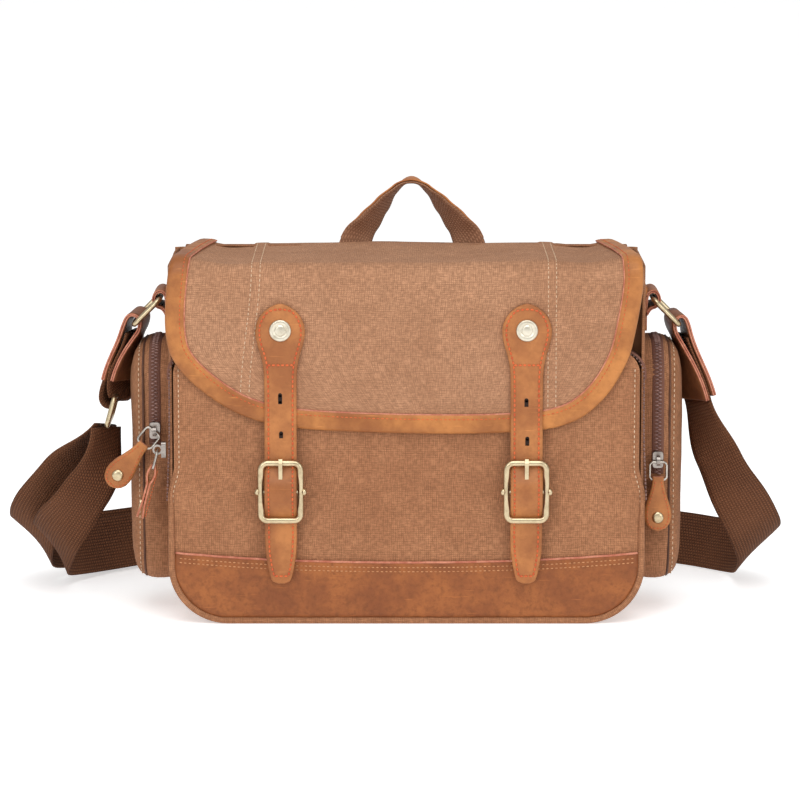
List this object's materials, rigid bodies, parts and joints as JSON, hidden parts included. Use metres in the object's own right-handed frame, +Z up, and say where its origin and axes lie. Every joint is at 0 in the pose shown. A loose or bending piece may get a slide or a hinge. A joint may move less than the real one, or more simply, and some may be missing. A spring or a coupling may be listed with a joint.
{
  "type": "messenger bag",
  "caption": "Canvas messenger bag with a leather-bound front flap, buckled closing straps, zipped side pockets, top handle and shoulder strap.",
  "frame": {"origin": "middle of the bag's flat base, on the surface it stands on", "axes": "+X to the right of a person facing the front of the bag, +Y towards its back, +Z up"},
  "size_m": [0.5171, 0.2634, 0.289],
  "materials": {
    "canvas": "tan-brown cotton canvas, plain weave, slightly faded along its seams",
    "leather": "oiled tan leather with a mottled pull-up finish and orange stitching",
    "webbing": "dark brown cotton webbing, coarse weave",
    "brass": "pale antique brass, soft shine",
    "gunmetal": "dark gunmetal plating",
    "zip": "brown nylon zip coil and tape",
    "board": "black stiffening board",
    "magnet": "plated magnetic snap"
  },
  "bodies": {
    "bag": {"front_panel": "canvas", "inner_wall": "canvas", "back_panel": "canvas", "gusset": "canvas", "piping": "canvas", "base_trim": "leather", "base_board": "board", "front_zip_tape": "zip", "front_zip_coil": "zip", "side_pocket_left": "canvas", "side_pocket_right": "canvas", "side_zip_coil_left": "zip", "side_zip_coil_right": "zip", "anchor_patch_left": "leather", "anchor_patch_right": "leather", "snap_tabs": "leather", "snap_sockets": "magnet"},
    "flap_top": {"flap_top": "canvas", "flap_edges": "leather"},
    "flap_front": {"flap_front": "canvas", "flap_binding": "leather", "strap_upper_left": "leather", "strap_upper_right": "leather", "snap_caps": "brass"},
    "strap_left": {"strap_lower_left": "leather", "buckle_frame_left": "brass", "buckle_bar_left": "brass", "snap_stud_left": "magnet"},
    "prong_left": {"prong_left": "brass"},
    "strap_right": {"strap_lower_right": "leather", "buckle_frame_right": "brass", "buckle_bar_right": "brass", "snap_stud_right": "magnet"},
    "prong_right": {"prong_right": "brass"},
    "slider_left": {"slider_left": "gunmetal"},
    "pull_left": {"pull_link_left": "gunmetal", "pull_tag_left": "leather", "pull_rivet_left": "brass"},
    "slider_right": {"slider_right": "gunmetal"},
    "pull_right": {"pull_link_right": "gunmetal", "pull_tag_right": "leather", "pull_rivet_right": "brass"},
    "slider_front": {"slider_front": "gunmetal"},
    "pull_front": {"pull_link_front": "gunmetal", "pull_tag_front": "leather", "pull_rivet_front": "brass"},
    "handle": {"handle_webbing": "webbing", "handle_leather": "leather"},
    "shoulder_strap": {"anchor_loop_left": "leather", "anchor_loop_right": "leather", "ring_left": "brass", "ring_right": "brass", "strap_end_left": "leather", "strap_end_right": "leather", "strap_tab": "webbing", "lower_ring": "brass", "strap_webbing": "webbing", "strap_return": "webbing", "adjuster": "gunmetal"}
  },
  "joints": [
    {"name": "flap_top", "type": "hinge", "parent": "bag", "child": "flap_top", "pos_m": [0, 0.056, 0.2455], "axis": [-1, 0, 0], "range_deg": [0, 80]},
    {"name": "flap_front", "type": "hinge", "parent": "flap_top", "child": "flap_front", "pos_m": [0, -0.058, 0.2435], "axis": [-1, 0, 0], "range_deg": [0, 95]},
    {"name": "strap_left", "type": "hinge", "parent": "flap_front", "child": "strap_left", "pos_m": [-0.084, -0.0616, 0.1395], "axis": [-1, 0, 0], "range_deg": [0, 90]},
    {"name": "prong_left", "type": "hinge", "parent": "strap_left", "child": "prong_left", "pos_m": [-0.084, -0.0667, 0.092], "axis": [1, 0, 0], "range_deg": [0, 20]},
    {"name": "strap_right", "type": "hinge", "parent": "flap_front", "child": "strap_right", "pos_m": [0.08, -0.0616, 0.1395], "axis": [-1, 0, 0], "range_deg": [0, 90]},
    {"name": "prong_right", "type": "hinge", "parent": "strap_right", "child": "prong_right", "pos_m": [0.08, -0.0667, 0.092], "axis": [1, 0, 0], "range_deg": [0, 20]},
    {"name": "slider_right", "type": "slide", "parent": "bag", "child": "slider_right", "axis": [0, 0, 1], "range_m": [0, 0.045]},
    {"name": "pull_right", "type": "hinge", "parent": "slider_right", "child": "pull_right", "pos_m": [0.1697, -0.0368, 0.1069], "axis": [-1, 0, 0], "range_deg": [0, 120]},
    {"name": "slider_left", "type": "slide", "parent": "bag", "child": "slider_left", "axis": [0, 0, 1], "range_m": [0, 0.025]},
    {"name": "pull_left", "type": "hinge", "parent": "slider_left", "child": "pull_left", "pos_m": [-0.1697, -0.0368, 0.128], "axis": [-0.766, 0, 0.6428], "range_deg": [0, 60]},
    {"name": "slider_front", "type": "slide", "parent": "bag", "child": "slider_front", "axis": [0, 0, 1], "range_m": [0, 0.042]},
    {"name": "pull_front", "type": "hinge", "parent": "slider_front", "child": "pull_front", "pos_m": [-0.1668, -0.0505, 0.1169], "axis": [0, 1, 0], "range_deg": [0, 100]},
    {"name": "handle", "type": "hinge", "parent": "bag", "child": "handle", "pos_m": [0.003, 0.0563, 0.222], "axis": [-1, 0, 0], "range_deg": [0, 80], "stiffness_Nm_per_rad": 0.05},
    {"name": "shoulder_strap", "type": "hinge", "parent": "bag", "child": "shoulder_strap", "pos_m": [0, 0.008, 0.214], "axis": [1, 0, 0], "range_deg": [0, 70]}
  ]
}
